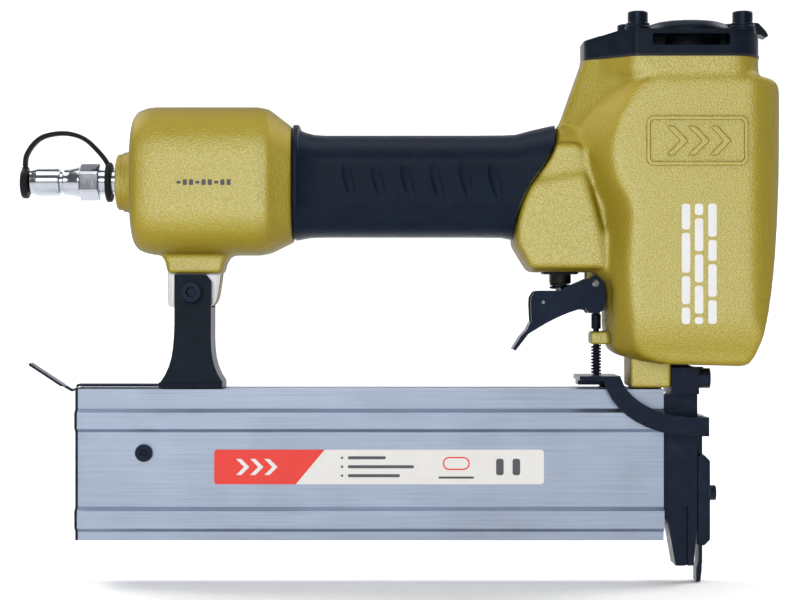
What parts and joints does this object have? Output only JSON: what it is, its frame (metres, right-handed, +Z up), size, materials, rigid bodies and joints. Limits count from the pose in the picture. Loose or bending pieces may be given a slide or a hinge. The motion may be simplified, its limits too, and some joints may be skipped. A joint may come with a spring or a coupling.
{
  "type": "pneumatic nail gun",
  "caption": "Pneumatic brad nailer with a cast head and air chamber, rubber grip, trigger, spring safety, straight side-opening magazine and quick-connect air plug.",
  "frame": {"origin": "point on the drive axis where a brad leaves, level with the foot of the contact tip, which is the work surface", "axes": "+X from the air plug to the front of the head, +Y to the side away from the label, +Z up along the drive axis, opposite to the drive direction"},
  "size_m": [0.3235, 0.06, 0.2415],
  "materials": {
    "casting_paint": "textured metallic olive-gold enamel on die-cast aluminium",
    "black_paint": "black epoxy coat on die-cast aluminium",
    "grip_rubber": "navy-black moulded rubber, fine leather grain",
    "strap_rubber": "black moulded elastomer",
    "seal_rubber": "nitrile seal",
    "bumper_rubber": "cast polyurethane",
    "chrome_steel": "bright nickel-chrome plate on turned steel",
    "black_steel": "black oxide on forged and stamped steel",
    "bright_steel": "ground steel",
    "zinc_steel": "bright zinc plate",
    "extruded_aluminium": "clear-anodised extrusion, fine die lines",
    "turned_aluminium": "turned and hard-anodised aluminium",
    "valve_metal": "blackened brass",
    "label_film": "printed polyester film",
    "gasket_fibre": "compressed fibre sheet",
    "trigger_black": "black powder coat"
  },
  "bodies": {
    "root": {"body_casting": "casting_paint", "rubber_grip": "grip_rubber", "rear_end_cap": "casting_paint", "end_cap_oring": "seal_rubber", "air_plug": "chrome_steel", "cap_strap": "strap_rubber", "cap_gasket": "gasket_fibre", "exhaust_cap": "black_paint", "cap_bolts": "black_steel", "deflector_screw": "black_steel", "head_valve_spring": "bright_steel", "cylinder_sleeve": "turned_aluminium", "cylinder_seal": "seal_rubber", "bumper": "bumper_rubber", "trigger_valve_body": "valve_metal", "valve_plate": "black_steel", "valve_spring": "bright_steel", "trigger_pin": "chrome_steel", "safety_spring": "bright_steel", "guide_cover": "black_steel", "cover_screw": "black_steel", "driver_guide": "black_steel", "nose_plate": "black_steel", "nose_bolts": "black_steel", "magazine_rail": "extruded_aluminium", "brad_strip": "zinc_steel", "rear_bracket": "black_steel", "bracket_screw": "black_steel", "bracket_nut": "zinc_steel"},
    "trigger": {"trigger": "trigger_black", "lever_pin": "bright_steel"},
    "trigger_lever": {"trigger_lever": "zinc_steel"},
    "valve_stem": {"valve_stem": "bright_steel", "valve_oring": "seal_rubber"},
    "safety": {"safety_rod": "zinc_steel", "safety_yoke": "black_steel", "contact_tip": "black_steel"},
    "magazine_slide": {"magazine_cover": "extruded_aluminium", "end_plate": "black_steel", "stop_screw": "black_steel", "label": "label_film"},
    "pusher": {"pusher": "bright_steel", "pusher_spring": "bright_steel"},
    "latch": {"latch_spring": "black_steel"},
    "dust_cap": {"dust_cap": "strap_rubber"},
    "deflector": {"deflector": "black_paint"},
    "piston": {"piston": "turned_aluminium", "piston_oring": "seal_rubber", "driver_blade": "bright_steel"},
    "head_valve": {"head_valve": "turned_aluminium", "head_valve_oring": "seal_rubber"}
  },
  "joints": [
    {"name": "trigger_pull", "type": "hinge", "parent": "root", "child": "trigger", "pos_m": [-0.04, 0, 0.1275], "axis": [0, 1, 0], "range_deg": [0, 12], "stiffness_Nm_per_rad": 0.08, "springref_deg": -20.05},
    {"name": "lever_tilt", "type": "hinge", "parent": "trigger", "child": "trigger_lever", "pos_m": [-0.0624, 0, 0.1195], "axis": [0, -1, 0], "range_deg": [0, 18]},
    {"name": "valve_push", "type": "slide", "parent": "root", "child": "valve_stem", "axis": [0, 0, 1], "range_m": [0, 0.0022], "deforming": ["valve_spring"]},
    {"name": "safety_press", "type": "slide", "parent": "root", "child": "safety", "axis": [0, 0, 1], "range_m": [0, 0.007], "stiffness_N_per_m": 400, "springref_m": -0.006, "deforming": ["safety_spring"]},
    {"name": "magazine_open", "type": "slide", "parent": "root", "child": "magazine_slide", "axis": [-1, 0, 0], "range_m": [0, 0.12]},
    {"name": "pusher_draw", "type": "slide", "parent": "magazine_slide", "child": "pusher", "axis": [-1, 0, 0], "range_m": [0, 0.06], "stiffness_N_per_m": 60, "springref_m": -0.03},
    {"name": "latch_lift", "type": "hinge", "parent": "root", "child": "latch", "pos_m": [-0.2265, 0, 0.0839], "axis": [0, 1, 0], "range_deg": [0, 8], "stiffness_Nm_per_rad": 0.6, "springref_deg": -5.73},
    {"name": "dust_cap_flip", "type": "hinge", "parent": "root", "child": "dust_cap", "pos_m": [-0.2828, 0, 0.178], "axis": [0, 1, 0], "range_deg": [0, 100], "stiffness_Nm_per_rad": 0.004, "springref_deg": -17.19, "deforming": ["cap_strap"]},
    {"name": "deflector_turn", "type": "hinge", "parent": "root", "child": "deflector", "pos_m": [0, 0, 0.236], "axis": [0, 0, 1], "range_deg": [-20, 20]},
    {"name": "piston_drive", "type": "slide", "parent": "root", "child": "piston", "axis": [0, 0, -1], "range_m": [0, 0.075]},
    {"name": "head_valve_lift", "type": "slide", "parent": "root", "child": "head_valve", "axis": [0, 0, 1], "range_m": [0, 0.0035], "stiffness_N_per_m": 2500, "springref_m": -0.004, "deforming": ["head_valve_spring"]}
  ],
  "couplings": [
    {"joint": "valve_push", "follows": "trigger_pull", "m_per_rad": 0.010027},
    {"joint": "lever_tilt", "follows": "safety_press", "rad_per_m": 44.631}
  ]
}
